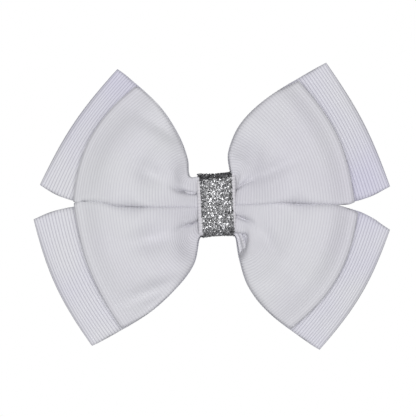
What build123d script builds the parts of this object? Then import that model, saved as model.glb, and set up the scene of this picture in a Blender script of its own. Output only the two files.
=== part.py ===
from build123d import *
import os
from math import cos, radians, sin

# A layered hair bow on an alligator clip, in millimetres.
# Seen from the front: +X is right, +Z is up and the front faces -Y.
# The origin is on the clip's gripping plane, right behind the bow's centre.

# ---- Ribbon ----
RIBBON_WIDTH = 50.8        # standard two-inch grosgrain
RIBBON_THICKNESS = 0.4

# ---- Alligator clip: sheet steel pressed into two jaws ----
STEEL = 0.6
JAW_TIP_X = -22.0
LEVER_END_X = 27.5
FIXED_JAW_WIDTH = 8.0
MOVING_JAW_WIDTH = 6.6
EAR_RADIUS = 2.6
PIVOT_X = 13.0
PIVOT_Y = 3.2
PIN_RADIUS = 0.75
PIN_CLEARANCE = 0.05
PIN_HEAD_RADIUS = 1.3
PIN_HEAD_THICKNESS = 0.5
SIDE_CLEARANCE = 0.1       # between a moving ear and the fixed ear beside it
TOOTH_PITCH = 1.5
TOOTH_DEPTH = 0.7
TOOTH_COUNT = 8
BITE_GAP = 0.05            # between the closed teeth and the fixed jaw
FLANGE_CLEAR_Y = 1.9       # flanges pass over the band at this height
WEB_Y = 6.3                # middle of the moving jaw's flat web
WEB_FLAT_START_X = -4.0
WEB_FLAT_END_X = 15.5
LEVER_END_Y = 10.0
LEVER_WIDTH = 8.0
SPRING_WIRE_RADIUS = 0.4
SPRING_LEG = 0.6
SPRING_COIL_RADIUS = 1.6
SPRING_HALF_LENGTH = 2.3

# ---- Depth of each layer, counted forward from the fixed jaw's outer face ----
LINING_WIDTH = 9.5
GLUE_THICKNESS = 0.4
KNOT_DEPTH = 4.8           # one bow's gathered middle: two ribbon rings
LINING_BACK_Y = -STEEL
CLIP_GLUE_BACK_Y = LINING_BACK_Y - RIBBON_THICKNESS
BACK_KNOT_Y = CLIP_GLUE_BACK_Y - GLUE_THICKNESS
BOW_GLUE_BACK_Y = BACK_KNOT_Y - KNOT_DEPTH
FRONT_KNOT_Y = BOW_GLUE_BACK_Y - GLUE_THICKNESS
BAND_FRONT_Y = FRONT_KNOT_Y - KNOT_DEPTH

# ---- Knot, thread, band ----
KNOT_HALF_HEIGHT = 11.0
KNOT_HALF_WIDTH = 7.0
SEAM_GAP = 0.25            # half of the slit between an upper and a lower petal
KNOT_CORNER = 2.1          # rounding of the knot in side view
THREAD_GROOVE = 0.6
THREAD_HALF_WIDTH = 1.6
BAND_WIDTH = 14.0
BAND_THICKNESS = 0.5
BAND_HALF_HEIGHT = 11.2
BAND_BACK_HALF_HEIGHT = 5.0
BAND_CHAMFER_Y = -1.2      # where the band starts to slope in towards the jaw
BAND_GLUE_THICKNESS = 0.2
BAND_FLAP_HALF_HEIGHT = 4.6
GLITTER_WIDTH = 11.5
GLITTER_THICKNESS = 0.6
GLITTER_BACK_Y = -3.0      # the glitter strip stops here on both sides

# ---- Petals: (side, level, lean of the axis, reach, direction the fold faces, bulge) ----
# side is -1 left and +1 right, level is +1 upper and -1 lower, angles in degrees
# above or below the horizontal, lengths from the bow's centre to the fold's middle.
BACK_PETALS = {
    "falling": ((-1, +1, 29.5, 57.4, 33.8, 2.3), (+1, -1, 31.7, 59.0, 30.4, 2.3)),
    "rising": ((+1, +1, 29.5, 59.4, 27.3, 1.5), (-1, -1, 26.9, 62.5, 24.8, 2.3)),
}
FRONT_PETALS = {
    "falling": ((-1, +1, 28.2, 46.4, 29.2, 5.7), (+1, -1, 31.4, 46.3, 30.7, 5.3)),
    "rising": ((+1, +1, 30.0, 46.8, 25.2, 5.8), (-1, -1, 27.1, 49.1, 22.6, 3.3)),
}
FRONT_FOLD_WIDTH = 48.0    # shorter than the ribbon, because this fold curves forward

# Each petal is lofted through sections at these shares of its length. A section has
# the depth (front, back) of the puffed loop there, measured from the bow's own knot.
BACK_DEPTHS = ((0.0, 4.8, 0.0), (0.22, 7.0, 0.0), (0.5, 10.2, 0.0), (0.8, 9.3, 0.8), (1.0, 7.4, 1.8))
FRONT_DEPTHS = ((0.0, 4.8, 0.0), (0.22, 10.5, 2.4), (0.5, 16.2, 5.6), (0.8, 13.6, 5.4), (1.0, 9.6, 4.8))
SIDE_PATH = ((7.0, 11.0), (8.6, 19.5), (16.0, 32.5))   # inner silhouette near the knot


def petal_corner(petal, fold_width, outer):
    """One end of a petal's fold line, as x and z."""
    side, level, lean, reach, facing, bulge = petal
    half = fold_width / 2 if outer else -fold_width / 2
    x = reach * cos(radians(lean)) - half * sin(radians(facing))
    z = reach * sin(radians(lean)) + half * cos(radians(facing))
    return side * x, level * max(z, SEAM_GAP)


def side_point(petal, fold_width, share):
    """A point of the petal's inner silhouette, from the knot to the fold."""
    side, level = petal[0], petal[1]
    end_x, end_z = petal_corner(petal, fold_width, True)
    path = [(side * x, level * z) for x, z in SIDE_PATH] + [(end_x, end_z)]
    place = share * (len(path) - 1)
    first = min(int(place), len(path) - 2)
    part = place - first
    x = path[first][0] + part * (path[first + 1][0] - path[first][0])
    z = path[first][1] + part * (path[first + 1][1] - path[first][1])
    return x, z


def seam_point(petal, fold_width, share):
    """A point of the petal's edge along the slit, from the knot to the fold."""
    side, level = petal[0], petal[1]
    end_x, end_z = petal_corner(petal, fold_width, False)
    x = side * KNOT_HALF_WIDTH + share * (end_x - side * KNOT_HALF_WIDTH)
    z = level * SEAM_GAP + share ** 4 * (end_z - level * SEAM_GAP)
    return x, z


def section(seam, outer, front_y, back_y):
    """A rounded slice of a petal between two edge points and two depths."""
    width = ((outer[0] - seam[0]) ** 2 + (outer[1] - seam[1]) ** 2) ** 0.5
    depth = back_y - front_y
    middle = ((seam[0] + outer[0]) / 2, (front_y + back_y) / 2, (seam[1] + outer[1]) / 2)
    along = (outer[0] - seam[0], 0, outer[1] - seam[1])
    plane = Plane(origin=middle, x_dir=along, z_dir=Vector(along).cross(Vector(0, 1, 0)))
    return plane * RectangleRounded(width, depth, depth * 0.45)


def petal(shape, fold_width, knot_y, depths):
    """One petal: a closed solid with the outline and the puff of the ribbon loop."""
    slices = []
    for share, front, back in depths:
        seam = seam_point(shape, fold_width, share)
        outer = side_point(shape, fold_width, share)
        slices.append(section(seam, outer, knot_y - front, knot_y - back))
    side, level, lean, reach, facing, bulge = shape
    push_x = side * bulge * cos(radians(facing))
    push_z = level * bulge * sin(radians(facing))
    seam = seam_point(shape, fold_width, 1.0)
    outer = side_point(shape, fold_width, 1.0)
    inset = 0.2
    cap_seam = (seam[0] + inset * (outer[0] - seam[0]) + push_x,
                seam[1] + inset * (outer[1] - seam[1]) + push_z)
    cap_outer = (outer[0] + inset * (seam[0] - outer[0]) + push_x,
                 outer[1] + inset * (seam[1] - outer[1]) + push_z)
    share, front, back = depths[-1]
    slices.append(section(cap_seam, cap_outer, knot_y - front + 1.2, knot_y - back - 1.2))
    return loft(slices, ruled=True)


def knot_block(knot_y, half_width, inset):
    """The rounded block that one bow's gathered middle fills, shrunk by the inset."""
    outline = RectangleRounded(
        KNOT_DEPTH - 2 * inset, 2 * (KNOT_HALF_HEIGHT - inset), KNOT_CORNER - inset
    )
    block = extrude(Plane.YZ.offset(-half_width) * outline, amount=2 * half_width)
    return Pos(0, knot_y - KNOT_DEPTH / 2, 0) * block


def thread(knot_y):
    """Thread wound round a bow's middle, as one closed band in its groove."""
    outer = knot_block(knot_y, THREAD_HALF_WIDTH, 0)
    inner = knot_block(knot_y, 2 * THREAD_HALF_WIDTH, THREAD_GROOVE)
    return outer - inner


def waist(level, front_y, back_y, knot_y):
    """A ring's gathered middle. It crosses the knot from one level to the other."""
    top = level * KNOT_HALF_HEIGHT
    gap = level * SEAM_GAP
    outline = Polygon(
        (-KNOT_HALF_WIDTH, gap), (-KNOT_HALF_WIDTH, top), (0, top),
        (KNOT_HALF_WIDTH, -gap), (KNOT_HALF_WIDTH, -top), (0, -top),
        align=None,
    )
    body = extrude(Plane.XZ.offset(-back_y) * outline, amount=back_y - front_y, dir=(0, -1, 0))
    return (body & knot_block(knot_y, KNOT_HALF_WIDTH, 0)) - thread(knot_y)


def ribbon_loop(petals, name, fold_width, knot_y, depths):
    """One ribbon ring: two petals joined by the gathered waist."""
    front_y = knot_y - KNOT_DEPTH
    middle_y = knot_y - KNOT_DEPTH / 2
    if name == "falling":
        body = waist(+1, front_y, middle_y, knot_y)
    else:
        body = waist(-1, middle_y, knot_y, knot_y)
    for shape in petals[name]:
        body += petal(shape, fold_width, knot_y, depths)
    return body


def wrap_outline(grow, back_y):
    """The closed path of the band round the knot, grown outwards, as a side view in YZ."""
    front = BAND_FRONT_Y - grow
    top = BAND_HALF_HEIGHT + grow
    shape = Polygon(
        (front, -top), (BAND_CHAMFER_Y, -top), (back_y + grow, -BAND_BACK_HALF_HEIGHT),
        (back_y + grow, BAND_BACK_HALF_HEIGHT), (BAND_CHAMFER_Y, top), (front, top),
        align=None,
    )
    corners = shape.vertices().filter_by(lambda corner: corner.X < front + 0.01)
    return fillet(corners, KNOT_CORNER + grow)


def center_band():
    """White ribbon wrapped round the bows and the fixed jaw, its end lapped behind."""
    outer = wrap_outline(BAND_THICKNESS, 0)
    inner = wrap_outline(0, 0)
    ring = extrude(Plane.YZ.offset(-BAND_WIDTH / 2) * (outer - inner), amount=BAND_WIDTH)
    lap_y = BAND_THICKNESS + BAND_GLUE_THICKNESS
    flap = Pos(0, lap_y + BAND_THICKNESS / 2, 0) * Box(
        BAND_WIDTH, BAND_THICKNESS, 2 * BAND_FLAP_HALF_HEIGHT
    )
    turn = Pos(0, lap_y - BAND_GLUE_THICKNESS / 2, -BAND_FLAP_HALF_HEIGHT + 0.3) * Box(
        BAND_WIDTH, BAND_GLUE_THICKNESS, 0.6
    )
    return ring + flap + turn


def band_seam_glue():
    """The glue film under the band's lapped end."""
    height = 2 * BAND_FLAP_HALF_HEIGHT - 0.6
    place = Pos(0, BAND_THICKNESS + BAND_GLUE_THICKNESS / 2, 0.3)
    return place * Box(BAND_WIDTH, BAND_GLUE_THICKNESS, height)


def glitter_strip():
    """Narrower glitter tape on the band's front, top and bottom."""
    outer = wrap_outline(BAND_THICKNESS + GLITTER_THICKNESS, 0)
    inner = wrap_outline(BAND_THICKNESS, 0)
    ring = extrude(Plane.YZ.offset(-GLITTER_WIDTH / 2) * (outer - inner), amount=GLITTER_WIDTH)
    behind = Pos(0, GLITTER_BACK_Y + 10, 0) * Box(2 * GLITTER_WIDTH, 20, 60)
    return ring - behind


def glue_pad(back_y, half_width, half_height):
    """An oval pad of set glue, its back face at back_y."""
    outline = Ellipse(half_width, half_height)
    return extrude(Plane.XZ.offset(-back_y) * outline, amount=GLUE_THICKNESS)


def plan_cut(start_x, end_x, width, tip_radius):
    """A round-cornered plan outline, tall enough to trim any clip piece."""
    outline = RectangleRounded(end_x - start_x, width, tip_radius)
    middle = Plane(origin=((start_x + end_x) / 2, -5, 0), x_dir=(1, 0, 0), z_dir=(0, 1, 0))
    return extrude(middle * outline, amount=25)


def side_plate(profile, inner_z):
    """A pair of steel side plates from a side-view profile."""
    one = extrude(Plane.XY.offset(inner_z) * profile, amount=STEEL)
    return one + mirror(one, about=Plane.XY)


def pin_hole(radius):
    """A drill through both ears along the hinge axis."""
    return Pos(PIVOT_X, PIVOT_Y, 0) * Cylinder(radius, 2 * FIXED_JAW_WIDTH)


def fixed_jaw():
    """The flat jaw that the bow is glued to, with its lever and two hinge ears."""
    length = LEVER_END_X - JAW_TIP_X
    middle_x = (LEVER_END_X + JAW_TIP_X) / 2
    plate = Pos(middle_x, -STEEL / 2, 0) * Box(length, STEEL, FIXED_JAW_WIDTH)
    plate &= plan_cut(JAW_TIP_X, LEVER_END_X, FIXED_JAW_WIDTH, 3.0)
    foot = Pos(PIVOT_X, (PIVOT_Y - STEEL) / 2) * Rectangle(2 * EAR_RADIUS, PIVOT_Y + STEEL)
    profile = foot + Pos(PIVOT_X, PIVOT_Y) * Circle(EAR_RADIUS)
    ears = side_plate(profile, FIXED_JAW_WIDTH / 2 - STEEL)
    return plate + ears - pin_hole(PIN_RADIUS)


def lining():
    """Ribbon glued along the fixed jaw's outer face."""
    length = PIVOT_X - JAW_TIP_X
    middle_x = (PIVOT_X + JAW_TIP_X) / 2
    place = Pos(middle_x, LINING_BACK_Y - RIBBON_THICKNESS / 2, 0)
    return place * Box(length, RIBBON_THICKNESS, LINING_WIDTH)


def web_path():
    """The middle line of the moving jaw's top plate, from the tip to the lever's end."""
    return Polyline(
        (JAW_TIP_X + 0.2, 0.7), (JAW_TIP_X + 4, 2.2), (JAW_TIP_X + 11, 4.6),
        (WEB_FLAT_START_X, WEB_Y), (WEB_FLAT_END_X, WEB_Y), (LEVER_END_X, LEVER_END_Y),
    )


def flange_outline():
    """The side view of the moving jaw's flange: teeth, clear span, ear."""
    teeth = []
    for number in range(TOOTH_COUNT):
        start = JAW_TIP_X + 0.3 + number * TOOTH_PITCH
        teeth.append((start, BITE_GAP))
        teeth.append((start + TOOTH_PITCH / 2, BITE_GAP + TOOTH_DEPTH))
    last_x = teeth[-1][0] + TOOTH_PITCH / 2
    outline = teeth + [
        (last_x, BITE_GAP), (last_x + 0.8, FLANGE_CLEAR_Y), (PIVOT_X - EAR_RADIUS, FLANGE_CLEAR_Y),
        (PIVOT_X + EAR_RADIUS, PIVOT_Y), (WEB_FLAT_END_X, WEB_Y), (WEB_FLAT_START_X, WEB_Y),
        (JAW_TIP_X + 11, 4.6), (JAW_TIP_X + 4, 2.2), (JAW_TIP_X + 0.3, 0.7),
    ]
    return Polygon(*outline, align=None) + Pos(PIVOT_X, PIVOT_Y) * Circle(EAR_RADIUS)


def moving_jaw():
    """The toothed jaw: a channel over the band, hinge ears and a thumb lever."""
    strip = trace(web_path(), STEEL)
    web = extrude(Plane.XY.offset(-LEVER_WIDTH / 2) * strip, amount=LEVER_WIDTH)
    lever_start_x = PIVOT_X + EAR_RADIUS + 1.4
    narrow = plan_cut(JAW_TIP_X - 0.5, LEVER_END_X, MOVING_JAW_WIDTH, 2.0)
    wide = plan_cut(lever_start_x, LEVER_END_X + 1, LEVER_WIDTH, 2.5)
    web &= narrow + wide
    flanges = side_plate(flange_outline(), MOVING_JAW_WIDTH / 2 - STEEL)
    return web + flanges - pin_hole(PIN_RADIUS + PIN_CLEARANCE)


def hinge_pin():
    """The rivet through all four ears, with a head at each end."""
    half = FIXED_JAW_WIDTH / 2
    shaft = Cylinder(PIN_RADIUS, 2 * half)
    head = Pos(0, 0, half + PIN_HEAD_THICKNESS / 2) * Cylinder(PIN_HEAD_RADIUS, PIN_HEAD_THICKNESS)
    return Pos(PIVOT_X, PIVOT_Y, 0) * (shaft + head + mirror(head, about=Plane.XY))


def leg(start, end):
    """A straight spring leg between two points, a little thinner than the coil's wall."""
    axis = Vector(*end) - Vector(*start)
    face = Plane(origin=start, x_dir=(0, 0, 1), z_dir=axis) * Rectangle(SPRING_LEG, SPRING_LEG)
    return extrude(face, amount=axis.length)


def torsion_spring():
    """The coil round the pin, with one leg on each lever."""
    outer = Cylinder(SPRING_COIL_RADIUS + SPRING_WIRE_RADIUS, 2 * SPRING_HALF_LENGTH)
    inner = Cylinder(SPRING_COIL_RADIUS - SPRING_WIRE_RADIUS, 3 * SPRING_HALF_LENGTH)
    coil = Pos(PIVOT_X, PIVOT_Y, 0) * (outer - inner)
    leg_z = SPRING_HALF_LENGTH - SPRING_WIRE_RADIUS
    low_leg = leg(
        (PIVOT_X, PIVOT_Y - SPRING_COIL_RADIUS, leg_z),
        (PIVOT_X + 9, SPRING_WIRE_RADIUS + 0.05, leg_z),
    )
    high_leg = leg(
        (PIVOT_X - 0.4, PIVOT_Y + SPRING_COIL_RADIUS - 0.05, -leg_z),
        (PIVOT_X + 9, WEB_Y + 1.1, -leg_z),
    )
    return coil + low_leg + high_leg


def all_parts():
    """Every node's name and solid."""
    parts = {}
    for name in ("falling", "rising"):
        parts[f"back_bow_{name}_loop"] = ribbon_loop(
            BACK_PETALS, name, RIBBON_WIDTH, BACK_KNOT_Y, BACK_DEPTHS
        )
        parts[f"front_bow_{name}_loop"] = ribbon_loop(
            FRONT_PETALS, name, FRONT_FOLD_WIDTH, FRONT_KNOT_Y, FRONT_DEPTHS
        )
    parts["back_bow_thread"] = thread(BACK_KNOT_Y)
    parts["front_bow_thread"] = thread(FRONT_KNOT_Y)
    parts["center_band"] = center_band()
    parts["band_seam_glue"] = band_seam_glue()
    parts["glitter_strip"] = glitter_strip()
    parts["bow_glue_pad"] = glue_pad(BOW_GLUE_BACK_Y, 6.0, 9.0)
    parts["clip_glue_pad"] = glue_pad(CLIP_GLUE_BACK_Y, 12.0, 4.0)
    parts["clip_lining_ribbon"] = lining()
    parts["fixed_jaw"] = fixed_jaw()
    parts["moving_jaw"] = moving_jaw()
    parts["hinge_pin"] = hinge_pin()
    parts["torsion_spring"] = torsion_spring()
    return parts


os.makedirs("parts", exist_ok=True)
for node, solid in all_parts().items():
    export_step(solid, f"parts/{node}.step")
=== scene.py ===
"""A layered grosgrain hair bow with a glitter band, on an alligator clip."""
import math

import bpy
import numpy as np
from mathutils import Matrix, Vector


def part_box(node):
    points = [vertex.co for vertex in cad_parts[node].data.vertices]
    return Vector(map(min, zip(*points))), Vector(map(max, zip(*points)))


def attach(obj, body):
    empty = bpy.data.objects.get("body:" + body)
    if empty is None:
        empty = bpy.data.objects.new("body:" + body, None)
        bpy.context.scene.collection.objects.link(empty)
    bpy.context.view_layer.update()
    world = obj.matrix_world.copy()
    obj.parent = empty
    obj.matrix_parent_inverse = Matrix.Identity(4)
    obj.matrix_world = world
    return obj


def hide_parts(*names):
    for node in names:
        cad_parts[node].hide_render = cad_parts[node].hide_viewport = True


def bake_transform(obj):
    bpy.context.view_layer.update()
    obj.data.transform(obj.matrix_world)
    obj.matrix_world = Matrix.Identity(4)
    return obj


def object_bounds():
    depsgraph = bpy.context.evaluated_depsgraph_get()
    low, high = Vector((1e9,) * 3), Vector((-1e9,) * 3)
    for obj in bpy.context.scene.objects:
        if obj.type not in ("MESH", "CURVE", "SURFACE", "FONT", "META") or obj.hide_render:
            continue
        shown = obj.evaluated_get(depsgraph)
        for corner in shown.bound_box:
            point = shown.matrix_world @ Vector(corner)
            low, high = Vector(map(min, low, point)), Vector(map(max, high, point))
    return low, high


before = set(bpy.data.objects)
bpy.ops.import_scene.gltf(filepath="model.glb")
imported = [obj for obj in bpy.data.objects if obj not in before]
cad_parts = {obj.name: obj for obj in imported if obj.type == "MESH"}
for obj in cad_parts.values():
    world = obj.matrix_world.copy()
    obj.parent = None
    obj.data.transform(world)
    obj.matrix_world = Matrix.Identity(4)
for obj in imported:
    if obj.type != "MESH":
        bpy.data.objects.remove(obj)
cad_low, cad_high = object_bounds()

# Lengths below are in millimetres; MM turns them into Blender's metres.
MM = 0.001

# ---- Ribbon ----
RIBBON_WIDTH = 50.8
RIB_PITCH = 1.2
ROWS_PER_RIB = 5
WEAVE_THICKNESS = 0.22     # between the ribs
RIB_HEIGHT = 0.10          # how far a rib stands out, on each face
SELVEDGE_WIDTH = 0.9
COLUMNS = 36               # quads across a ribbon

# ---- Depths, forward from the clip's gripping plane, from the CAD frame ----
front_low, front_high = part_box("front_bow_falling_loop")
back_low, back_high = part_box("back_bow_falling_loop")
FRONT_TOP = -front_low.y / MM          # the front bow's foremost surface
FRONT_KNOT_BACK = -front_high.y / MM   # the back of the front bow's knot
BACK_TOP = -back_low.y / MM
BACK_KNOT_BACK = -back_high.y / MM
band_low, band_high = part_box("center_band")
BAND_HALF = band_high.x / MM
KNOT_FRONT = -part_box("front_bow_thread")[0].y / MM
BACK_KNOT_FRONT = -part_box("back_bow_thread")[0].y / MM
KNOT_HALF_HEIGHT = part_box("front_bow_thread")[1].z / MM

# ---- Petals ----
# Each petal is described in the upper right quarter and mirrored to its own side and level.
# "lean" is its axis above the horizontal, "facing" the direction its fold faces, both in
# degrees; "reach" is from the bow's centre to the middle of the fold's chord and "bulge"
# how far the fold stands out beyond that chord. "side_path" is the inner silhouette, from
# the knot to near the fold's end, "corner" the front fold's end at the slit, "crease" the
# line of the pleat that leaves the knot and "pleat" its depth and width. A dent is (x, z,
# direction in degrees, length, width, depth). A tuck is three points of the edge past which
# the cloth turns away, from the knot outwards, and how much it deepens per millimetre.
PETALS = {
    "upper_left": dict(
        side=-1, level=1, ring="falling", corner=(51.9, 1.2),
        side_path=(
            (4.0, 9.6), (6.8, 10.3), (9.3, 9.8), (10.2, 12.0), (10.6, 17.0), (14.0, 25.8), (21.0, 36.3),
        ),
        crease=((4.0, 3.6), (7.7, 3.9), (11.5, 4.4), (15.3, 5.8), (20.0, 8.2)),
        pleat=(5.4, 1.0),
        dents=((23.6, 11.2, 25, 6.5, 3.4, 2.6), (16.4, 26.4, 31, 12.5, 3.6, 3.6)),
        back=dict(lean=29.5, reach=57.6, facing=33.8, bulge=2.5),
        front=dict(lean=28.2, reach=46.4, facing=29.2, bulge=5.7),
    ),
    "lower_right": dict(
        side=1, level=-1, ring="falling", corner=(51.4, 3.0),
        side_path=((4.0, 10.2), (6.9, 11.4), (7.7, 15.0), (8.7, 20.5), (12.0, 30.2), (19.8, 39.8)),
        crease=((4.0, 3.4), (7.3, 4.1), (10.6, 5.2), (13.2, 6.6), (17.2, 10.6)),
        pleat=(4.4, 1.2),
        dents=((18.0, 12.0, 60, 6.5, 3.0, 1.9), (27.0, 24.0, 35, 9.0, 5.0, 1.4)),
        tuck=((12.2, 9.9), (11.2, 16.0), (8.4, 21.5), 2.2),
        back=dict(lean=31.5, reach=59.2, facing=30.4, bulge=3.2),
        front=dict(lean=31.4, reach=46.3, facing=30.7, bulge=5.3),
    ),
    "upper_right": dict(
        side=1, level=1, ring="rising", corner=(50.2, 1.0),
        side_path=((4.0, 9.6), (5.4, 11.0), (4.8, 14.0), (4.7, 20.0), (9.2, 29.9), (19.3, 39.4)),
        crease=((4.0, 4.2), (7.0, 5.5), (10.4, 7.8), (14.2, 9.6), (20.0, 12.2)),
        pleat=(2.0, 1.6),
        dents=((20.0, 12.4, 24, 11.0, 2.6, 1.9), (14.6, 18.5, 80, 6.0, 2.2, 0.7)),
        back=dict(lean=29.5, reach=59.4, facing=27.3, bulge=2.4),
        front=dict(lean=29.8, reach=46.4, facing=25.2, bulge=4.4),
    ),
    "lower_left": dict(
        side=-1, level=-1, ring="rising", corner=(51.7, -0.5),
        side_path=((4.0, 10.2), (6.2, 12.3), (6.8, 15.8), (8.4, 22.0), (13.9, 29.6), (24.8, 39.6)),
        crease=((4.0, 4.8), (6.6, 5.9), (10.0, 7.2), (13.8, 8.6), (18.6, 11.0)),
        pleat=(2.5, 1.4),
        dents=((24.6, 12.6, 12, 8.5, 4.2, 3.4), (22.0, 31.2, 22, 12.0, 3.6, 4.0)),
        back=dict(lean=26.9, reach=62.7, facing=24.8, bulge=3.1),
        front=dict(lean=27.1, reach=49.1, facing=22.6, bulge=3.3),
    ),
}
# Where the front petals of each side meet, as (distance from the centre, height).
SLITS = {
    -1: ((4.0, -0.8), (24.1, -0.8), (35.1, -0.5), (38.9, 0.2), (42.6, 1.0), (48.5, 1.4)),
    1: ((4.0, 0.0), (18.5, 0.3), (23.6, 0.7), (36.0, 0.3), (42.4, 0.1)),
}
BACK_OVERLAP = 0.7         # the back bow's petals pass under each other at the slit
FRONT_FOLD_WIDTH = 48.2    # in front view: the front folds also curve forward
FRONT_INSET = 0.7          # the front bow's silhouette lies this far inside the back one
FOLD_RADIUS = {"front": 2.2, "back": 2.8}
CORNER_LIFT = {("back", "top"): 0.8, ("back", "under"): 3.4}   # folds lie flatter at their ends
SIDE_HANG = 0.45           # the front sheet hangs less at the open side than at the slit
SIDE_SQUARENESS = 6.5      # how squarely a sheet's section turns down at its open side
KNOT_START = 4.0           # the sheets start this far to each side of the centre
TUCK_RUN = 5.0             # a tuck stops deepening this far past its edge
SECTION_SAMPLES = 201

# Height of a sheet's crest and of its hanging sides along the petal, as
# (share of the length from the knot, height, how far the sides hang below it).
CRESTS = {
    ("front", "top"): (
        (0.0, KNOT_FRONT - 0.4, 1.2), (0.07, KNOT_FRONT + 0.4, 1.8), (0.2, KNOT_FRONT + 3.8, 4.6),
        (0.36, FRONT_TOP - 3.8, 8.6), (0.54, FRONT_TOP - 1.6, 10.6), (0.7, FRONT_TOP - 2.8, 7.6),
        (0.85, FRONT_TOP - 4.8, 3.0), (1.0, FRONT_TOP - 7.8, 0.2),
    ),
    ("front", "under"): (
        (0.0, FRONT_KNOT_BACK + 0.6, 0.0), (0.2, FRONT_KNOT_BACK + 4.0, 1.2),
        (0.5, BACK_TOP + 2.4, 0.0), (0.8, BACK_TOP + 1.0, 0.0), (1.0, BACK_TOP + 0.2, 0.0),
    ),
    ("back", "top"): (
        (0.0, BACK_KNOT_FRONT - 0.6, 0.4), (0.2, BACK_KNOT_FRONT + 1.6, 4.5),
        (0.5, BACK_TOP - 0.7, 6.0), (0.8, BACK_TOP - 1.0, 3.6), (0.9, BACK_TOP - 1.3, 1.8),
        (1.0, BACK_TOP - 2.8, 0.2),
    ),
    ("back", "under"): (
        (0.0, BACK_KNOT_BACK + 0.6, -0.4), (0.2, BACK_KNOT_BACK + 1.0, -3.0),
        (0.5, BACK_KNOT_BACK + 0.9, -4.0), (0.8, BACK_KNOT_BACK + 1.5, -2.4),
        (1.0, BACK_KNOT_BACK + 2.6, -0.4),
    ),
}
# The most that the small gathers of a sheet stand up and down.
GATHER_SIZE = {("front", "under"): 1.8, ("back", "top"): 1.0, ("back", "under"): 0.7}
# The falling ring passes the knot in front of the rising one, so their layers part there.
KNOT_SHIFT = {("rising", "top"): -2.2, ("falling", "under"): 2.2}


def smooth_curve(points, at):
    """A Catmull-Rom curve through rows of points, read at parameters from 0 to 1."""
    points = np.asarray(points, float)
    padded = np.vstack([2 * points[0] - points[1], points, 2 * points[-1] - points[-2]])
    place = np.clip(at, 0, 1) * (len(points) - 1)
    first = np.minimum(place.astype(int), len(points) - 2)
    t = (place - first)[:, None]
    p0, p1, p2, p3 = (padded[first + k] for k in range(4))
    bend = 2 * p1 + (p2 - p0) * t + (2 * p0 - 5 * p1 + 4 * p2 - p3) * t ** 2
    return 0.5 * (bend + (3 * p1 - p0 - 3 * p2 + p3) * t ** 3)


def even_steps(path, count):
    """Points at equal arc lengths along each path; path is (steps, lines, axes)."""
    lengths = np.linalg.norm(np.diff(path, axis=0), axis=2)
    along = np.vstack([np.zeros(path.shape[1]), np.cumsum(lengths, axis=0)])
    out = np.empty((count,) + path.shape[1:])
    for line in range(path.shape[1]):
        wanted = np.linspace(0, along[-1, line], count)
        for axis in range(path.shape[2]):
            out[:, line, axis] = np.interp(wanted, along[:, line], path[:, line, axis])
    return out


def spaced_curve(points, count):
    """A smooth curve through points, sampled at even distances."""
    fine = smooth_curve(points, np.linspace(0, 1, 400))
    return even_steps(fine[:, None, :], count)[:, 0]


def ease(value):
    """A smooth step from 0 to 1."""
    value = np.clip(value, 0, 1)
    return value * value * (3 - 2 * value)


def smooth_least(a, b, softness):
    """The smaller of two heights, with the corner between them rounded off."""
    blend = np.clip(0.5 + 0.5 * (b - a) / softness, 0, 1)
    return b + (a - b) * blend - softness * blend * (1 - blend)


def unit(vector):
    """Vectors of length one along the last axis."""
    return vector / np.maximum(np.linalg.norm(vector, axis=-1, keepdims=True), 1e-9)


def placed(name, data):
    """A new object in the scene that shows a mesh, lamp or camera."""
    piece = bpy.data.objects.new(name, data)
    bpy.context.collection.objects.link(piece)
    return piece


def turned(direction, angle):
    """A front-view direction turned anticlockwise by an angle in radians."""
    x, z = direction
    return np.array([x * math.cos(angle) - z * math.sin(angle), x * math.sin(angle) + z * math.cos(angle)])


def table_values(table, shares):
    """Columns of a table, rounded off at its corners, read at the given shares."""
    table = np.array(table)
    kernel = np.hanning(15)[1:-1]
    kernel /= kernel.sum()
    pad = len(kernel) // 2
    out = []
    for column in range(1, table.shape[1]):
        values = np.interp(shares, table[:, 0], table[:, column])
        out.append(np.convolve(np.pad(values, pad, mode="edge"), kernel, "valid"))
    return out


def fold_end(spec, width, outer):
    """One end of a petal's fold chord, as x and z in the upper right quarter."""
    lean, facing = math.radians(spec["lean"]), math.radians(spec["facing"])
    half = width / 2 if outer else -width / 2
    x = spec["reach"] * math.cos(lean) - half * math.sin(facing)
    z = spec["reach"] * math.sin(lean) + half * math.cos(facing)
    return np.array([x, z])


def sheet_edges(petal, bow, stations):
    """A sheet's two edges in front view: along the slit, and along the inner silhouette."""
    spec = petal[bow]
    width = RIBBON_WIDTH if bow == "back" else FRONT_FOLD_WIDTH
    facing = math.radians(spec["facing"])
    step_back = FOLD_RADIUS[bow] * np.array([math.cos(facing), math.sin(facing)])
    side_end = fold_end(spec, width, True) - step_back
    inset = FRONT_INSET * np.array([0.45, -0.2]) if bow == "front" else np.zeros(2)
    side = spaced_curve([np.array(p) + inset for p in petal["side_path"]] + [side_end], stations)
    if bow == "front":
        meeting = [(x, petal["level"] * z) for x, z in SLITS[petal["side"]]]
        return spaced_curve(meeting + [np.array(petal["corner"]) - step_back], stations), side
    seam_end = fold_end(spec, width, False) - step_back
    shares = np.linspace(0, 1, stations)
    seam = np.empty((stations, 2))
    seam[:, 0] = KNOT_START + shares * (seam_end[0] - KNOT_START)
    seam[:, 1] = -BACK_OVERLAP / 2 + shares ** 6 * (seam_end[1] + BACK_OVERLAP / 2)
    return seam, side


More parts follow.
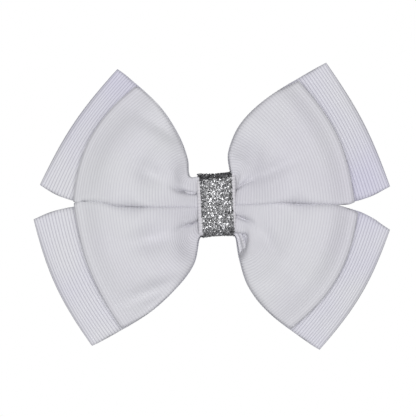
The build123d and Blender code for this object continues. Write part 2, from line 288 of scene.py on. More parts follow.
def sheet_points(petal, bow, sheet, stations, lines, seed):
    """One ribbon sheet from the knot to its fold: an array (stations, lines, x z height)."""
    seam_line, side_line = sheet_edges(petal, bow, stations)
    shares = np.linspace(0, 1, stations)
    crest, drop = table_values(CRESTS[(bow, sheet)], shares)
    crest += KNOT_SHIFT.get((petal["ring"], sheet), 0.0) * (1 - ease(shares / 0.09))
    if bow == "back" and petal["ring"] == "rising":
        crest -= 0.5 * ease(shares / 0.1) * ease((1 - shares) / 0.1)
    corner_lift = CORNER_LIFT.get((bow, sheet), 0.0) * ease((shares - 0.6) / 0.4)

    # A flat crest with rolled sides, rounder at the slit halfway along than at its ends.
    # In front view every rib leaves the slit squarely
    # and meets the inner silhouette squarely, as ribs always cross a ribbon's edges.
    reach = (1 - np.cos(np.linspace(0, np.pi, SECTION_SAMPLES))) / 2
    t = reach[:, None]
    at_slit = 14.0 - 9.6 * np.exp(-((shares[:, None] - 0.57) / 0.18) ** 2)
    squareness = np.where(reach < 0.5, at_slit, SIDE_SQUARENESS)
    lift = (1 - np.abs(2 * reach - 1) ** squareness) ** (1 / squareness)
    side_hang = SIDE_HANG if (bow, sheet) == ("front", "top") else 1.0
    fall = (1 - lift) * np.where(reach < 0.5, 1.0, side_hang)
    side_along = unit(np.gradient(side_line, axis=0))
    fine = np.empty((stations, SECTION_SAMPLES, 3))
    for k, share in enumerate(shares):
        seam, side = seam_line[k], side_line[k]
        length = np.linalg.norm(side - seam)
        along = (side - seam) / length
        tilt = math.asin(min(0.9, petal[bow]["bulge"] / (0.3 * length)))
        to_fold = ease(share) ** 1.5
        leave = unit((1 - to_fold) * np.array([0.0, 1.0]) + to_fold * turned(along, -tilt))
        square = np.array([-side_along[k, 1], side_along[k, 0]])
        arrive = unit((1 - to_fold) * square + to_fold * turned(along, tilt))
        hold = (0.52 - 0.12 * ease(share / 0.6)) * length
        first, last = seam + hold * leave, side - hold * arrive
        fine[k, :, :2] = (
            seam * (1 - t) ** 3 + 3 * first * t * (1 - t) ** 2
            + 3 * last * t ** 2 * (1 - t) + side * t ** 3
        )
        fine[k, :, 2] = crest[k] - drop[k] * fall[k] + corner_lift[k] * np.abs(2 * reach - 1) ** 2.2
    if (bow, sheet) == ("front", "top"):
        # The band holds the cloth down, and it swells as soon as it is past the band.
        past_band = np.hypot(
            np.clip(fine[:, :, 0] - BAND_HALF + 0.3, 0, None),
            np.clip(fine[:, :, 1] - KNOT_HALF_HEIGHT + 1.0, 0, None),
        )
        held = KNOT_FRONT - 0.5 + 0.5 * past_band
        fine[:, :, 2] = smooth_least(fine[:, :, 2], held, 2.4)
    if sheet == "top":
        fine[:, :, 2] -= pleat_depth(fine, petal, bow)
        fine[:, :, 2] += undulations(petal, stations, seed) * (1.0 if bow == "front" else 0.7)
    if (bow, sheet) != ("front", "top"):
        fine[:, :, 2] += gathers(fine, reach, shares, GATHER_SIZE[(bow, sheet)])
    return even_steps(fine.transpose(1, 0, 2), lines).transpose(1, 0, 2)


def pleat_depth(points, petal, bow):
    """How deep the pleat, dents and tuck of a petal press into a sheet, at each point."""
    crease = spaced_curve(petal["crease"], 60)
    start, end = crease[0, 0], crease[-1, 0]
    x, z = points[:, :, 0], points[:, :, 1]
    off = z - np.interp(x, crease[:, 0], crease[:, 1])
    along = np.clip((x - start) / (end - start), 0, 1.6)
    pleat_size, pleat_width = petal["pleat"]
    deep = 0.3 + pleat_size * ease(along / 0.34)
    fade = 1 - ease((along - 0.30) / 0.60)
    wide = pleat_width * (0.20 + 1.2 * along ** 2)
    shape = np.exp(-np.abs(off / np.where(off > 0, 1.7 * wide, wide)) ** 1.4)
    depth = deep * fade * shape
    for middle_x, middle_z, direction, long, broad, dent in petal["dents"]:
        swing = math.radians(direction)
        ahead = (x - middle_x) * math.cos(swing) + (z - middle_z) * math.sin(swing)
        aside = (z - middle_z) * math.cos(swing) - (x - middle_x) * math.sin(swing)
        depth += dent * np.exp(-(ahead / long) ** 2 - (aside / broad) ** 2)
    if "tuck" in petal:
        edge = spaced_curve(petal["tuck"][:3], 40)
        past = np.interp(z, edge[:, 1], edge[:, 0], left=-9, right=-9) - x
        ends = ease((z - edge[0, 1]) / 1.2) * ease((edge[-1, 1] - z) / 4.0)
        # Known fault: nothing limits this to the room behind the sheet, so at its deepest
        # the cloth passes through the back bow. A shorter TUCK_RUN would be the place to start.
        depth += petal["tuck"][3] * ends * (np.clip(past, 0, TUCK_RUN) + 0.6 * ease(past / 0.5))
    return depth * (1.0 if bow == "front" else 0.3)


def gathers(points, reach, shares, most):
    """Small pleats that take up the ribbon's spare width where it narrows to the knot."""
    waves = 7
    chord = np.linalg.norm(np.diff(points, axis=1), axis=2).sum(axis=1)
    spare = np.clip((0.95 * RIBBON_WIDTH / chord) ** 2 - 1, 0, None)
    size = np.minimum(chord / (2 * np.pi * waves) * np.sqrt(2 * spare), most)
    size *= 0.25 + 0.75 * ease(shares / 0.12)
    return size[:, None] * np.sin(2 * np.pi * waves * reach)


def undulations(petal, stations, seed):
    """Soft, shallow undulations, as ribbon has after it is handled."""
    random = np.random.default_rng(seed)
    shares = np.linspace(0, 1, stations)[:, None]
    across = np.linspace(-1, 1, SECTION_SAMPLES)[None, :]
    calm = ease(shares / 0.25) * ease((1 - shares) / 0.2) * (1 - across ** 4)
    height = np.zeros((stations, SECTION_SAMPLES))
    for _ in range(5):
        wave_along, wave_across = random.uniform(1.2, 4), random.uniform(-3, 3)
        phase = random.uniform(0, 2 * np.pi)
        height += 0.4 * np.sin(wave_along * shares * np.pi + wave_across * across + phase)
    return height * calm


def petal_path(petal, bow, lines, seed):
    """A petal's ribbon from the front of the knot, round its fold, to the knot's back."""
    stations = 110
    top = sheet_points(petal, bow, "top", stations, lines, seed)
    under = sheet_points(petal, bow, "under", stations, lines, seed + 1)
    facing = math.radians(petal[bow]["facing"])
    outward = np.array([math.cos(facing), math.sin(facing)])
    middle = (top[-1, :, 2] + under[-1, :, 2]) / 2
    radius = (top[-1, :, 2] - under[-1, :, 2]) / 2
    stand_out = (FOLD_RADIUS[bow] * radius / radius.max())[:, None]
    arc = []
    for angle in np.linspace(90, -90, 15)[1:-1]:
        swing = math.radians(angle)
        row = np.empty((lines, 3))
        row[:, :2] = (top[-1, :, :2] + under[-1, :, :2]) / 2
        row[:, :2] += (FOLD_RADIUS[bow] - stand_out + stand_out * math.cos(swing)) * outward
        row[:, 2] = middle + radius * math.sin(swing)
        arc.append(row)
    path = np.concatenate([top, np.array(arc), under[::-1]])
    for _ in range(4):
        path[1:-1] += 0.25 * (path[:-2] - 2 * path[1:-1] + path[2:])
    path[:, :, 0] *= petal["side"]
    path[:, :, 1] *= petal["level"]
    return path


def ring_path(bow, ring, lines, seed):
    """A whole ribbon ring as a closed path of rows, each row one line across the ribbon."""
    first, second = [p for p in PETALS.values() if p["ring"] == ring]
    one = petal_path(first, bow, lines, seed)
    two = petal_path(second, bow, lines, seed + 7)
    # Both petals are drawn from their slit edge outwards, so the second is turned over:
    # the ribbon's upper edge on one side is its upper edge on the other.
    two = two[:, ::-1]
    waist_top = np.linspace(two[0], one[0], 10)[1:-1]
    waist_under = np.linspace(one[-1], two[-1], 10)[1:-1]
    return np.concatenate([one, waist_under, two[::-1], waist_top])


def rib_profile(phase):
    """Height of a rib over its pitch, from 0 in the groove to 1 on the crown."""
    return np.abs(np.sin(np.pi * phase)) ** 0.7


def grid_normals(points, closed):
    """Unit normals of a grid of points (rows, columns, 3)."""
    if closed:
        along = np.roll(points, -1, axis=0) - np.roll(points, 1, axis=0)
    else:
        along = np.gradient(points, axis=0)
    across = np.gradient(points, axis=1)
    return unit(np.cross(across, along))


def ribbon_mesh(name, path, closed, width=RIBBON_WIDTH):
    """Weaves a thick ribbed ribbon on a path of rows (rows, columns, x z height)."""
    if closed:
        path = np.concatenate([path, path[:1]])
    lengths = np.linalg.norm(np.diff(path, axis=0), axis=2).max(axis=1)
    total = lengths.sum()
    ribs = int(round(total / RIB_PITCH))
    rows = ribs * ROWS_PER_RIB
    along = np.concatenate([[0], np.cumsum(lengths)])
    wanted = np.linspace(0, total, rows + 1)
    if closed:
        wanted = wanted[:-1]
    grid = np.empty((len(wanted), path.shape[1], 3))
    for column in range(path.shape[1]):
        for axis in range(3):
            grid[:, column, axis] = np.interp(wanted, along, path[:, column, axis])
    for _ in range(5):
        if closed:
            grid += 0.25 * (np.roll(grid, 1, axis=0) - 2 * grid + np.roll(grid, -1, axis=0))
        else:
            grid[1:-1] += 0.25 * (grid[:-2] - 2 * grid[1:-1] + grid[2:])
    points = np.stack([grid[..., 0], -grid[..., 2], grid[..., 1]], axis=2)
    normals = grid_normals(points, closed)
    phase = (np.arange(len(wanted)) / ROWS_PER_RIB)[:, None]
    columns = path.shape[1]
    edge = np.minimum(np.arange(columns), np.arange(columns)[::-1]) * width / columns
    rise = RIB_HEIGHT * rib_profile(phase) * ease(edge / SELVEDGE_WIDTH * 0.5 + 0.5)[None, :]
    half = (WEAVE_THICKNESS / 2 + rise)[..., None]
    return build_ribbon(name, points + half * normals, points - half * normals, closed, width)


def build_ribbon(name, upper, lower, closed, width):
    """Makes the mesh of a ribbon from its two faces, with a rim along each edge."""
    rows, columns = upper.shape[:2]
    count = rows * columns
    coords = np.concatenate([upper.reshape(-1, 3), lower.reshape(-1, 3)]) * MM
    row = np.arange(rows if closed else rows - 1)[:, None]
    column = np.arange(columns - 1)[None, :]
    following = (row + 1) % rows
    a = (row * columns + column).ravel()
    b = (row * columns + column + 1).ravel()
    c = (following * columns + column + 1).ravel()
    d = (following * columns + column).ravel()
    faces = [np.stack([a, b, c, d], axis=1), np.stack([d, c, b, a], axis=1) + count]
    for edge, flip in ((0, False), (columns - 1, True)):
        p = (row[:, 0] * columns + edge)
        q = (following[:, 0] * columns + edge)
        rim = np.stack([p, q, q + count, p + count], axis=1)
        faces.append(rim[:, ::-1] if flip else rim)
    if not closed:
        for start, flip in ((0, True), ((rows - 1) * columns, False)):
            p = start + np.arange(columns - 1)
            rim = np.stack([p, p + 1, p + 1 + count, p + count], axis=1)
            faces.append(rim[:, ::-1] if flip else rim)
    faces = np.concatenate(faces)
    mesh = bpy.data.meshes.new(name)
    mesh.vertices.add(len(coords))
    mesh.vertices.foreach_set("co", coords.astype(np.float32).ravel())
    mesh.loops.add(faces.size)
    mesh.loops.foreach_set("vertex_index", faces.astype(np.int32).ravel())
    mesh.polygons.add(len(faces))
    mesh.polygons.foreach_set("loop_start", np.arange(len(faces), dtype=np.int32) * 4)
    mesh.polygons.foreach_set("use_smooth", np.ones(len(faces), bool))
    mesh.update(calc_edges=True)
    mesh.validate()
    # The weave's own coordinates: millimetres across the ribbon, ribs along it.
    index = np.empty(len(mesh.loops), np.int32)
    mesh.loops.foreach_get("vertex_index", index)
    spot = index % count
    uv = np.stack([
        (spot % columns) / (columns - 1) * width,
        (spot // columns) / ROWS_PER_RIB,
    ], axis=1)
    layer = mesh.uv_layers.new(name="weave")
    layer.data.foreach_set("uv", uv.astype(np.float32).ravel())
    return placed(name, mesh)


# ---- Materials ----
def new_material(name):
    """An empty node material and its principled shader."""
    material = bpy.data.materials.new(name)
    material.use_nodes = True
    shader = material.node_tree.nodes["Principled BSDF"]
    return material, material.node_tree, shader


def ribbon_material(name, colour, shade, shade_tint):
    """Grosgrain: ribs across, fine warp threads along, painted shade in its grooves and faint patches of
    painted lavender shade.
    """
    material, tree, shader = new_material(name)
    nodes, links = tree.nodes, tree.links
    weave = nodes.new("ShaderNodeUVMap")
    weave.uv_map = "weave"
    split = nodes.new("ShaderNodeSeparateXYZ")
    links.new(weave.outputs["UV"], split.inputs[0])

    # Grooves between ribs are painted darker: painted shade where the ribs shade each other. V counts ribs.
    ribs = nodes.new("ShaderNodeMath")
    ribs.operation = "PINGPONG"
    ribs.inputs[1].default_value = 0.5
    links.new(split.outputs["Y"], ribs.inputs[0])
    groove = nodes.new("ShaderNodeMapRange")
    groove.inputs["From Min"].default_value = 0.0
    groove.inputs["From Max"].default_value = 0.22
    links.new(ribs.outputs[0], groove.inputs["Value"])
    base = nodes.new("ShaderNodeMix")
    base.data_type = "RGBA"
    base.inputs["A"].default_value = (*shade, 1)
    base.inputs["B"].default_value = (*colour, 1)
    links.new(groove.outputs["Result"], base.inputs["Factor"])

    # Broad, faint patches, cooler and darker, at random places: a painted lavender tint of shade.
    place = nodes.new("ShaderNodeTexCoord")
    patches = nodes.new("ShaderNodeTexNoise")
    patches.inputs["Scale"].default_value = 28.0
    patches.inputs["Detail"].default_value = 2.0
    links.new(place.outputs["Object"], patches.inputs["Vector"])
    soften = nodes.new("ShaderNodeMapRange")
    soften.inputs["From Min"].default_value = 0.35
    soften.inputs["From Max"].default_value = 0.75
    links.new(patches.outputs["Fac"], soften.inputs["Value"])
    shade_tinted = nodes.new("ShaderNodeMix")
    shade_tinted.data_type = "RGBA"
    shade_tinted.blend_type = "MULTIPLY"
    shade_tinted.inputs["B"].default_value = (*shade_tint, 1)
    links.new(soften.outputs["Result"], shade_tinted.inputs["Factor"])
    links.new(base.outputs["Result"], shade_tinted.inputs["A"])
    links.new(shade_tinted.outputs["Result"], shader.inputs["Base Color"])

    # Warp threads, four to a millimetre, seen as fine relief over the ribs.
    threads = nodes.new("ShaderNodeMath")
    threads.operation = "MULTIPLY"
    threads.inputs[1].default_value = 4.0 * 2 * math.pi
    links.new(split.outputs["X"], threads.inputs[0])
    wave = nodes.new("ShaderNodeMath")
    wave.operation = "SINE"
    links.new(threads.outputs[0], wave.inputs[0])
    fuzz = nodes.new("ShaderNodeTexNoise")
    fuzz.inputs["Scale"].default_value = 2600.0
    links.new(place.outputs["Object"], fuzz.inputs["Vector"])
    relief = nodes.new("ShaderNodeMath")
    relief.operation = "ADD"
    links.new(wave.outputs[0], relief.inputs[0])
    links.new(fuzz.outputs["Fac"], relief.inputs[1])
    bump = nodes.new("ShaderNodeBump")
    bump.inputs["Strength"].default_value = 0.12
    bump.inputs["Distance"].default_value = 0.00002
    links.new(relief.outputs[0], bump.inputs["Height"])
    links.new(bump.outputs["Normal"], shader.inputs["Normal"])
    rough = nodes.new("ShaderNodeMapRange")
    rough.inputs["To Min"].default_value = 0.86
    rough.inputs["To Max"].default_value = 0.68
    links.new(groove.outputs["Result"], rough.inputs["Value"])
    links.new(rough.outputs["Result"], shader.inputs["Roughness"])
    shader.inputs["Sheen Weight"].default_value = 0.12
    shader.inputs["Sheen Roughness"].default_value = 0.5
    shader.inputs["Specular IOR Level"].default_value = 0.3
    return material


def glitter_material():
    """Flakes with a painted brightness each, from painted shade near black to a painted mirror glint."""
    material, tree, shader = new_material("silver_glitter_flakes")
    shade = tree.nodes.new("ShaderNodeAttribute")
    shade.attribute_name = "flake_tone_and_glint"
    tree.links.new(shade.outputs["Color"], shader.inputs["Base Color"])
    grain = tree.nodes.new("ShaderNodeTexNoise")
    grain.inputs["Scale"].default_value = 1500.0
    place = tree.nodes.new("ShaderNodeTexCoord")
    tree.links.new(place.outputs["Object"], grain.inputs["Vector"])
    rough = tree.nodes.new("ShaderNodeMapRange")
    rough.inputs["To Min"].default_value = 0.16
    rough.inputs["To Max"].default_value = 0.38
    tree.links.new(grain.outputs["Fac"], rough.inputs["Value"])
    tree.links.new(rough.outputs["Result"], shader.inputs["Roughness"])
    shader.inputs["Metallic"].default_value = 0.85
    return material


def thread_material():
    """Plain white sewing cotton with a fine twist."""
    material, tree, shader = new_material("white_cotton_thread")
    place = tree.nodes.new("ShaderNodeTexCoord")
    twist = tree.nodes.new("ShaderNodeTexNoise")
    twist.inputs["Scale"].default_value = 4000.0
    tree.links.new(place.outputs["Object"], twist.inputs["Vector"])
    mix = tree.nodes.new("ShaderNodeMix")
    mix.data_type = "RGBA"
    mix.inputs["A"].default_value = (0.62, 0.62, 0.64, 1)
    mix.inputs["B"].default_value = (0.78, 0.78, 0.79, 1)
    tree.links.new(twist.outputs["Fac"], mix.inputs["Factor"])
    tree.links.new(mix.outputs["Result"], shader.inputs["Base Color"])
    shader.inputs["Roughness"].default_value = 0.85
    return material


def steel_material(name, colour, scratch_scale):
    """Nickel-plated pressed steel with fine drawn scratches."""
    material, tree, shader = new_material(name)
    nodes, links = tree.nodes, tree.links
    place = nodes.new("ShaderNodeTexCoord")
    stretch = nodes.new("ShaderNodeMapping")
    stretch.inputs["Scale"].default_value = scratch_scale
    links.new(place.outputs["Object"], stretch.inputs["Vector"])
    scratches = nodes.new("ShaderNodeTexNoise")
    scratches.inputs["Scale"].default_value = 900.0
    scratches.inputs["Detail"].default_value = 4.0
    links.new(stretch.outputs["Vector"], scratches.inputs["Vector"])
    rough = nodes.new("ShaderNodeMapRange")
    rough.inputs["To Min"].default_value = 0.14
    rough.inputs["To Max"].default_value = 0.36
    links.new(scratches.outputs["Fac"], rough.inputs["Value"])
    links.new(rough.outputs["Result"], shader.inputs["Roughness"])
    worn = nodes.new("ShaderNodeMix")
    worn.data_type = "RGBA"
    worn.inputs["A"].default_value = (*[0.86 * c for c in colour], 1)
    worn.inputs["B"].default_value = (*colour, 1)
    links.new(scratches.outputs["Fac"], worn.inputs["Factor"])
    links.new(worn.outputs["Result"], shader.inputs["Base Color"])
    shader.inputs["Metallic"].default_value = 1.0
    return material


def glue_material():
    """Cloudy set hot-melt glue."""
    material, tree, shader = new_material("set_hot_glue")
    place = tree.nodes.new("ShaderNodeTexCoord")
    cloud = tree.nodes.new("ShaderNodeTexNoise")
    cloud.inputs["Scale"].default_value = 300.0
    tree.links.new(place.outputs["Object"], cloud.inputs["Vector"])
    mix = tree.nodes.new("ShaderNodeMix")
    mix.data_type = "RGBA"
    mix.inputs["A"].default_value = (0.80, 0.78, 0.70, 1)
    mix.inputs["B"].default_value = (0.92, 0.91, 0.86, 1)
    tree.links.new(cloud.outputs["Fac"], mix.inputs["Factor"])
    tree.links.new(mix.outputs["Result"], shader.inputs["Base Color"])
    bump = tree.nodes.new("ShaderNodeBump")
    bump.inputs["Strength"].default_value = 0.4
    bump.inputs["Distance"].default_value = 0.0001
    tree.links.new(cloud.outputs["Fac"], bump.inputs["Height"])
    tree.links.new(bump.outputs["Normal"], shader.inputs["Normal"])
    shader.inputs["Roughness"].default_value = 0.35
    shader.inputs["Subsurface Weight"].default_value = 0.2
    shader.inputs["Subsurface Scale"].default_value = 0.001
    return material


front_cloth = ribbon_material(
    "white_grosgrain", (0.672, 0.678, 0.700), (0.585, 0.583, 0.615), (0.975, 0.955, 1.0)
)
# The back bow is the same white ribbon; this copy is painted for the light it gets further back: a lighter
# base, darker painted shade in its grooves and stronger painted lavender shade patches.
back_shaded_cloth = ribbon_material(
    "white_grosgrain_back_shaded", (0.715, 0.720, 0.745), (0.47, 0.465, 0.515), (0.90, 0.885, 1.0)
)
band_cloth = ribbon_material(
    "white_band_grosgrain", (0.66, 0.655, 0.665), (0.56, 0.555, 0.58), (0.97, 0.96, 1.0)
)
flakes = glitter_material()
thread_cotton = thread_material()
clip_steel = steel_material("nickel_plate", (0.60, 0.61, 0.635), (0.08, 1.0, 1.0))
wire_steel = steel_material("spring_wire", (0.56, 0.57, 0.60), (1.0, 1.0, 1.0))
glue = glue_material()


def finish_piece(piece, material, node):
    """Material, slot, body and the CAD node that a bow piece stands for."""
    piece.data.materials.append(material)
    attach(piece, "bow")
    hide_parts(node)


# ---- The four ribbon rings ----
for seed, (bow, ring) in enumerate((b, r) for b in ("back", "front") for r in ("falling", "rising")):
    path = ring_path(bow, ring, COLUMNS + 1, seed + 11)
    piece = ribbon_mesh(f"{bow}_{ring}_ribbon", path, closed=True)
    cloth = front_cloth if bow == "front" else back_shaded_cloth
    finish_piece(piece, cloth, f"{bow}_bow_{ring}_loop")


# ---- Centre band and its glitter tape ----
BAND_FRONT = -band_low.y / MM
BAND_TOP = band_high.z / MM - 1.1
BAND_SLOPE = 0.13          # the band's ends rise this much to the right, mm per mm
BAND_CROWN = 0.5
BAND_EDGES = (-7.1, -6.3, 6.9, 7.2)
TAPE_EDGES = (-6.0, -4.6, 5.4, 6.4)
TAPE_WIDTH = 11.5
FLAKE_COUNT = 7600
# Flake brightness is painted: the dark levels stand in for flakes turned from the light, the brightest for
# painted glints; the flakes' tilts add real glints too.
FLAKE_PAINTED_LEVELS = (0.065, 0.155, 0.265, 0.41, 0.78)     # from near black to mirror bright
FLAKE_SHARES = (0.16, 0.26, 0.32, 0.19, 0.07)        # how many flakes have each level


def wrap_front(lift):
    """The way round the knot as (height, z), from low behind, over the front, to high behind."""
    front, top, corner = BAND_FRONT - 0.2 + lift, BAND_TOP + lift, 2.2 + lift
    points = [(1.4, -top)]
    for angle in np.linspace(0, 90, 7):
        swing = math.radians(angle)
        points.append((front - corner + corner * math.sin(swing), -top + corner - corner * math.cos(swing)))
    return points + [(h, -z) for h, z in reversed(points)]


def band_grid(wrap, samples, columns, edges):
    """Rows across the band, following a wrap path, slightly crowned and askew in front."""
    wrap = even_steps(np.array(wrap)[:, None, :], samples)[:, 0]
    left_top, left_low, right_top, right_low = edges
    climb = np.clip((wrap[:, 1] + BAND_TOP) / (2 * BAND_TOP), 0, 1)[:, None]
    left, right = left_low + climb * (left_top - left_low), right_low + climb * (right_top - right_low)
    share = np.linspace(0, 1, columns)[None, :]
    in_front = ease((wrap[:, 0] - BAND_FRONT + 8.0) / 7.0)[:, None]
    left = in_front * left - (1 - in_front) * 6.9
    right = in_front * right + (1 - in_front) * 6.9
    grid = np.empty((samples, columns, 3))
    grid[..., 0] = left + share * (right - left)
    grid[..., 1] = wrap[:, 1][:, None] + BAND_SLOPE * grid[..., 0] * in_front
    waves = 0.10 * np.sin(wrap[:, 1] * 0.55 + 0.6)[:, None] * (share - 0.3)
    fall = BAND_CROWN * (np.abs(share - 0.5) * 2) ** 6
    grid[..., 2] = wrap[:, 0][:, None] + in_front * (waves - fall)
    return grid


# The band starts behind the clip's plate, goes round the knot and laps over its own start.
band_way = [(-0.22, 3.4), (-0.22, -4.9)] + wrap_front(0.0) + [(-0.3, 5.2), (-0.68, 3.4), (-0.68, -2.2)]
band_rows = band_grid(band_way, 130, 25, BAND_EDGES)
for _ in range(3):
    band_rows[1:-1] += 0.25 * (band_rows[:-2] - 2 * band_rows[1:-1] + band_rows[2:])
band = ribbon_mesh("band_ribbon", band_rows, closed=False, width=2 * BAND_HALF)
finish_piece(band, band_cloth, "center_band")


def paint_flakes(mesh, rgba):
    """Stores each point's tone, and on the flakes their painted glint, for the glitter material."""
    shade = mesh.color_attributes.new("flake_tone_and_glint", "FLOAT_COLOR", "POINT")
    shade.data.foreach_set("color", rgba.astype(np.float32).ravel())


def glitter_tape():
    """A thin dark-silver backing under overlapping six-sided flakes."""
    random = np.random.default_rng(5)
    rows = band_grid(wrap_front(0.45), 120, 17, TAPE_EDGES)
    rows = rows[rows[:, 8, 2] > 3.4]
    # Its edges are cut by hand: a little ragged.
    rows[:, 0, 0] += 0.12 * random.standard_normal(len(rows))
    rows[:, -1, 0] += 0.12 * random.standard_normal(len(rows))
    backing = ribbon_mesh("glitter_backing", rows, closed=False, width=TAPE_WIDTH)
    paint_flakes(backing.data, np.tile((0.16, 0.16, 0.17, 1.0), (len(backing.data.vertices), 1)))

    points = np.stack([rows[..., 0], -rows[..., 2], rows[..., 1]], axis=2)
    normals = grid_normals(points, False)
    count = FLAKE_COUNT
    at_row = random.uniform(0, len(rows) - 1.001, count)
    at_column = random.uniform(0, rows.shape[1] - 1.001, count)
    row, column = at_row.astype(int), at_column.astype(int)
    a, b = (at_row - row)[:, None], (at_column - column)[:, None]

    def read(field):
        near = field[row, column] * (1 - b) + field[row, column + 1] * b
        far = field[row + 1, column] * (1 - b) + field[row + 1, column + 1] * b
        return near * (1 - a) + far * a

    surface = read(normals)
    centre = read(points) + surface * random.uniform(0.16, 0.36, (count, 1))
    facing = unit(surface + 0.30 * random.standard_normal((count, 3)))
    side = unit(np.cross(facing, random.standard_normal((count, 3))))
    other = np.cross(facing, side)
    size = random.uniform(0.16, 0.37, (count, 1))
    corners = []
    for corner in range(6):
        swing = math.radians(60 * corner)
        corners.append(centre + size * (math.cos(swing) * side + math.sin(swing) * other))
    corners += [centre + 0.03 * facing, centre - 0.03 * facing]
    coords = np.stack(corners, axis=1)
    start = np.arange(count)[:, None] * 8
    faces = []
    for corner in range(6):
        following = (corner + 1) % 6
        faces.append(np.concatenate([start + corner, start + following, start + 6], axis=1))
        faces.append(np.concatenate([start + following, start + corner, start + 7], axis=1))
    mesh = bpy.data.meshes.new("glitter_flakes")
    mesh.from_pydata((coords.reshape(-1, 3) * MM).tolist(), [], np.concatenate(faces).tolist())
    # Each flake gets a painted brightness, from painted shade to painted glint.
    level = random.choice(FLAKE_PAINTED_LEVELS, p=FLAKE_SHARES, size=count)
    level *= random.uniform(0.75, 1.0, count)
    rgba = np.concatenate([level[:, None] * np.array([[0.97, 0.98, 1.0]]), np.ones((count, 1))], axis=1)
    paint_flakes(mesh, np.repeat(rgba, 8, axis=0))
    return backing, placed("glitter_flakes", mesh)


for piece in glitter_tape():
    finish_piece(piece, flakes, "glitter_strip")


# ---- Threads, lining, glue and spring ----
def tube(name, points, radius, sides=8):
    """A round wire or thread along points, in millimetres, with domed ends."""
    points = np.array(points, float)
    ahead = unit(np.gradient(points, axis=0))
    rings = []
    up = np.array([0.1, 0.2, 1.0])
    for k, place in enumerate(points):
        up = unit(up - ahead[k] * (up @ ahead[k]))
        right = np.cross(ahead[k], up)
        share = 0.55 if k in (0, len(points) - 1) else 1.0
        swing = np.linspace(0, 2 * np.pi, sides, endpoint=False)[:, None]
        rings.append(place + share * radius * (np.cos(swing) * up + np.sin(swing) * right))
    faces = [list(range(sides))[::-1], list(range((len(points) - 1) * sides, len(points) * sides))]
    for k in range(len(points) - 1):
        for side in range(sides):
            following = (side + 1) % sides
            faces.append([k * sides + side, k * sides + following,
                          (k + 1) * sides + following, (k + 1) * sides + side])
    mesh = bpy.data.meshes.new(name)
    mesh.from_pydata((np.concatenate(rings) * MM).tolist(), [], faces)
    mesh.shade_smooth()
    return placed(name, mesh)


def wound_thread(node):
    """Turns of thread round a knot, side by side and pulled tight."""
    low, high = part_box(node)
    low, high = np.array(low) / MM, np.array(high) / MM
    thread, turns = 0.2, 7
    middle, half = (low + high) / 2, (high - low) / 2 - thread
    points = []
    for angle in np.linspace(0, turns * 2 * np.pi, turns * 40 + 1):
        share = angle / (turns * 2 * np.pi)
        up = np.sign(np.sin(angle)) * abs(np.sin(angle)) ** 0.35
        out = np.sign(np.cos(angle)) * abs(np.cos(angle)) ** 0.35
        sway = 0.12 * math.sin(5.3 * angle)
        points.append(middle + half * np.array([2 * share - 1, out, up]) + np.array([sway, 0, 0]))
    finish_piece(tube(node + "_turns", points, thread), thread_cotton, node)


def glue_blob(node, seed):
    """A squeezed, slightly lumpy drop of set glue that fills a glue node's box."""
    random = np.random.default_rng(seed)
    low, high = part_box(node)
    low, high = np.array(low) / MM, np.array(high) / MM
    middle, half = (low + high) / 2, (high - low) / 2
    across = 48
    down = 17
    lumps = random.uniform(0, 2 * np.pi, 3)
    coords, faces = [], []
    for ring in range(down):
        tilt = np.pi * (ring + 0.5) / down
        for step in range(across):
            swing = 2 * np.pi * step / across
            edge = 1 - 0.07 * (1 + sum(math.sin((k + 2) * swing + lumps[k]) for k in range(3)) / 3)
            out = math.sin(tilt) ** 0.5 * edge
            coords.append(middle + half * np.array([
                out * math.cos(swing), -np.sign(math.cos(tilt)) * abs(math.cos(tilt)) ** 0.8,
                out * math.sin(swing),
            ]))
    for ring in range(down - 1):
        for step in range(across):
            following = (step + 1) % across
            faces.append([ring * across + step, ring * across + following,
                          (ring + 1) * across + following, (ring + 1) * across + step])
    faces.append(list(range(across))[::-1])
    faces.append(list(range((down - 1) * across, down * across)))
    mesh = bpy.data.meshes.new(node + "_blob")
    mesh.from_pydata((np.array(coords) * MM).tolist(), [], faces)
    mesh.shade_smooth()
    finish_piece(placed(node + "_blob", mesh), glue, node)


for node in ("front_bow_thread", "back_bow_thread"):
    wound_thread(node)
for seed, node in enumerate(("bow_glue_pad", "clip_glue_pad", "band_seam_glue")):
    glue_blob(node, seed)

lining_low, lining_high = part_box("clip_lining_ribbon")
lining_width = (lining_high.z - lining_low.z) / MM
lining = np.empty((60, 9, 3))
lining[..., 0] = np.linspace(lining_low.x / MM, lining_high.x / MM, 60)[:, None]
lining[..., 1] = np.linspace(-lining_width / 2, lining_width / 2, 9)[None, :]
lining[..., 2] = -(lining_low.y + lining_high.y) / 2 / MM
lining = ribbon_mesh("lining_ribbon", lining, closed=False, width=lining_width)
finish_piece(lining, front_cloth, "clip_lining_ribbon")


def torsion_spring():
    """A coil round the hinge pin with one leg under each lever."""
    wire, coil, half = 0.38, 1.6, 1.9
    axis_x, axis_y = 13.0, 3.2
    points = [(22.0, 0.42, half), (16.0, 1.2, half)]
    for angle in np.radians(np.linspace(-90, -1350, 127)):
        share = (math.degrees(angle) + 90) / -1260
        points.append((
            axis_x + coil * math.cos(angle), axis_y + coil * math.sin(angle), half - 2 * half * share,
        ))
    points += [(16.0, 5.65, -half), (22.0, 7.4, -half)]
    piece = tube("spring_wire", points, wire, 10)
    piece.data.materials.append(wire_steel)
    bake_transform(piece)
    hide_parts("torsion_spring")


torsion_spring()
for name in ("fixed_jaw", "moving_jaw", "hinge_pin"):
    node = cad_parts[name]
    node.data.materials.clear()
    node.data.materials.append(clip_steel)

# ---- Stage, camera, light ----
def area_light(name, place, target, size, power, colour):
    """A soft square light aimed at a point."""
    data = bpy.data.lights.new(name, "AREA")
    data.size = size
    data.energy = power
    data.color = colour
    lamp = placed(name, data)
    lamp.location = place
    aim = Vector(target) - Vector(place)
    lamp.rotation_euler = aim.to_track_quat("-Z", "Y").to_euler()


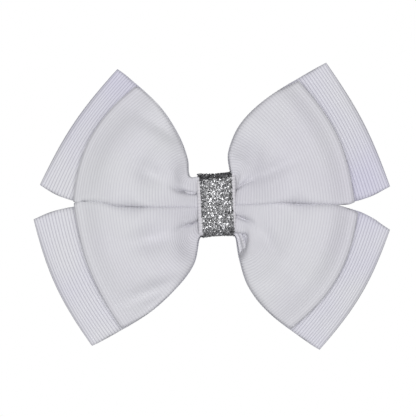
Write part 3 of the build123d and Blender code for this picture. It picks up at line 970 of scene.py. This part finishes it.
bow_middle = Vector(((cad_low.x + cad_high.x) / 2, 0, (cad_low.z + cad_high.z) / 2))
area_light("key", (0.06, -1.15, 0.05), bow_middle, 0.7, 8.1, (1.0, 0.99, 0.98))
area_light("fill", (-0.32, -1.10, 0.05), bow_middle, 0.6, 2.0, (0.98, 0.98, 1.0))
area_light("rear", (0.35, 0.95, 0.50), bow_middle, 0.5, 7.0, (1.0, 1.0, 1.0))

world = bpy.data.worlds.new("studio")
bpy.context.scene.world = world
world.use_nodes = True
world_nodes, world_links = world.node_tree.nodes, world.node_tree.links
world_nodes.clear()
# The room is a little brighter below than above, which lights the faces that turn down.
room = world_nodes.new("ShaderNodeTexCoord")
height = world_nodes.new("ShaderNodeSeparateXYZ")
world_links.new(room.outputs["Generated"], height.inputs[0])
fall = world_nodes.new("ShaderNodeMapRange")
fall.interpolation_type = "SMOOTHSTEP"
fall.inputs["From Min"].default_value = -0.5
fall.inputs["From Max"].default_value = 0.7
fall.inputs["To Min"].default_value = 0.38
fall.inputs["To Max"].default_value = 0.27
world_links.new(height.outputs["Z"], fall.inputs["Value"])
ambient = world_nodes.new("ShaderNodeBackground")
ambient.inputs["Color"].default_value = (0.96, 0.96, 1.0, 1)
world_links.new(fall.outputs["Result"], ambient.inputs["Strength"])
seen = world_nodes.new("ShaderNodeBackground")
seen.inputs["Color"].default_value = (1, 1, 1, 1)
ray = world_nodes.new("ShaderNodeLightPath")
choose = world_nodes.new("ShaderNodeMixShader")
output = world_nodes.new("ShaderNodeOutputWorld")
world_links.new(ray.outputs["Is Camera Ray"], choose.inputs["Fac"])
world_links.new(ambient.outputs[0], choose.inputs[1])
world_links.new(seen.outputs[0], choose.inputs[2])
world_links.new(choose.outputs[0], output.inputs["Surface"])

floor_mesh = bpy.data.meshes.new("floor")
floor_drop = 0.28                         # metres from the bow down to the floor
floor_z = cad_low.z - floor_drop
floor_half = 1.5
floor_mesh.from_pydata(
    [(x, y, floor_z) for x, y in (
        (-floor_half, -floor_half), (floor_half, -floor_half),
        (floor_half, floor_half), (-floor_half, floor_half),
    )], [], [(0, 1, 2, 3)],
)
floor = placed("floor", floor_mesh)
floor_paint, _, floor_shader = new_material("pale_floor")
floor_shader.inputs["Base Color"].default_value = (0.93, 0.93, 0.94, 1)
floor_shader.inputs["Roughness"].default_value = 0.9
floor_shader.inputs["Emission Color"].default_value = (0.93, 0.93, 0.94, 1)
floor_shader.inputs["Emission Strength"].default_value = 0.36
floor_mesh.materials.append(floor_paint)
floor.visible_diffuse = False     # its glow stays off the bow; the room lights that from below

camera_data = bpy.data.cameras.new("camera")
camera_data.lens = 180
camera_data.sensor_width = 36
camera = placed("camera", camera_data)
view_width = 0.1515                       # metres across the picture at the folds' depth
fold_depth = (front_low.y + back_high.y) / 2
distance = view_width * camera_data.lens / camera_data.sensor_width
camera.location = (-0.0030, fold_depth - distance, -0.00135)
camera.rotation_euler = (math.radians(90), 0, 0)
bpy.context.scene.camera = camera
bpy.context.scene.view_settings.view_transform = "Standard"
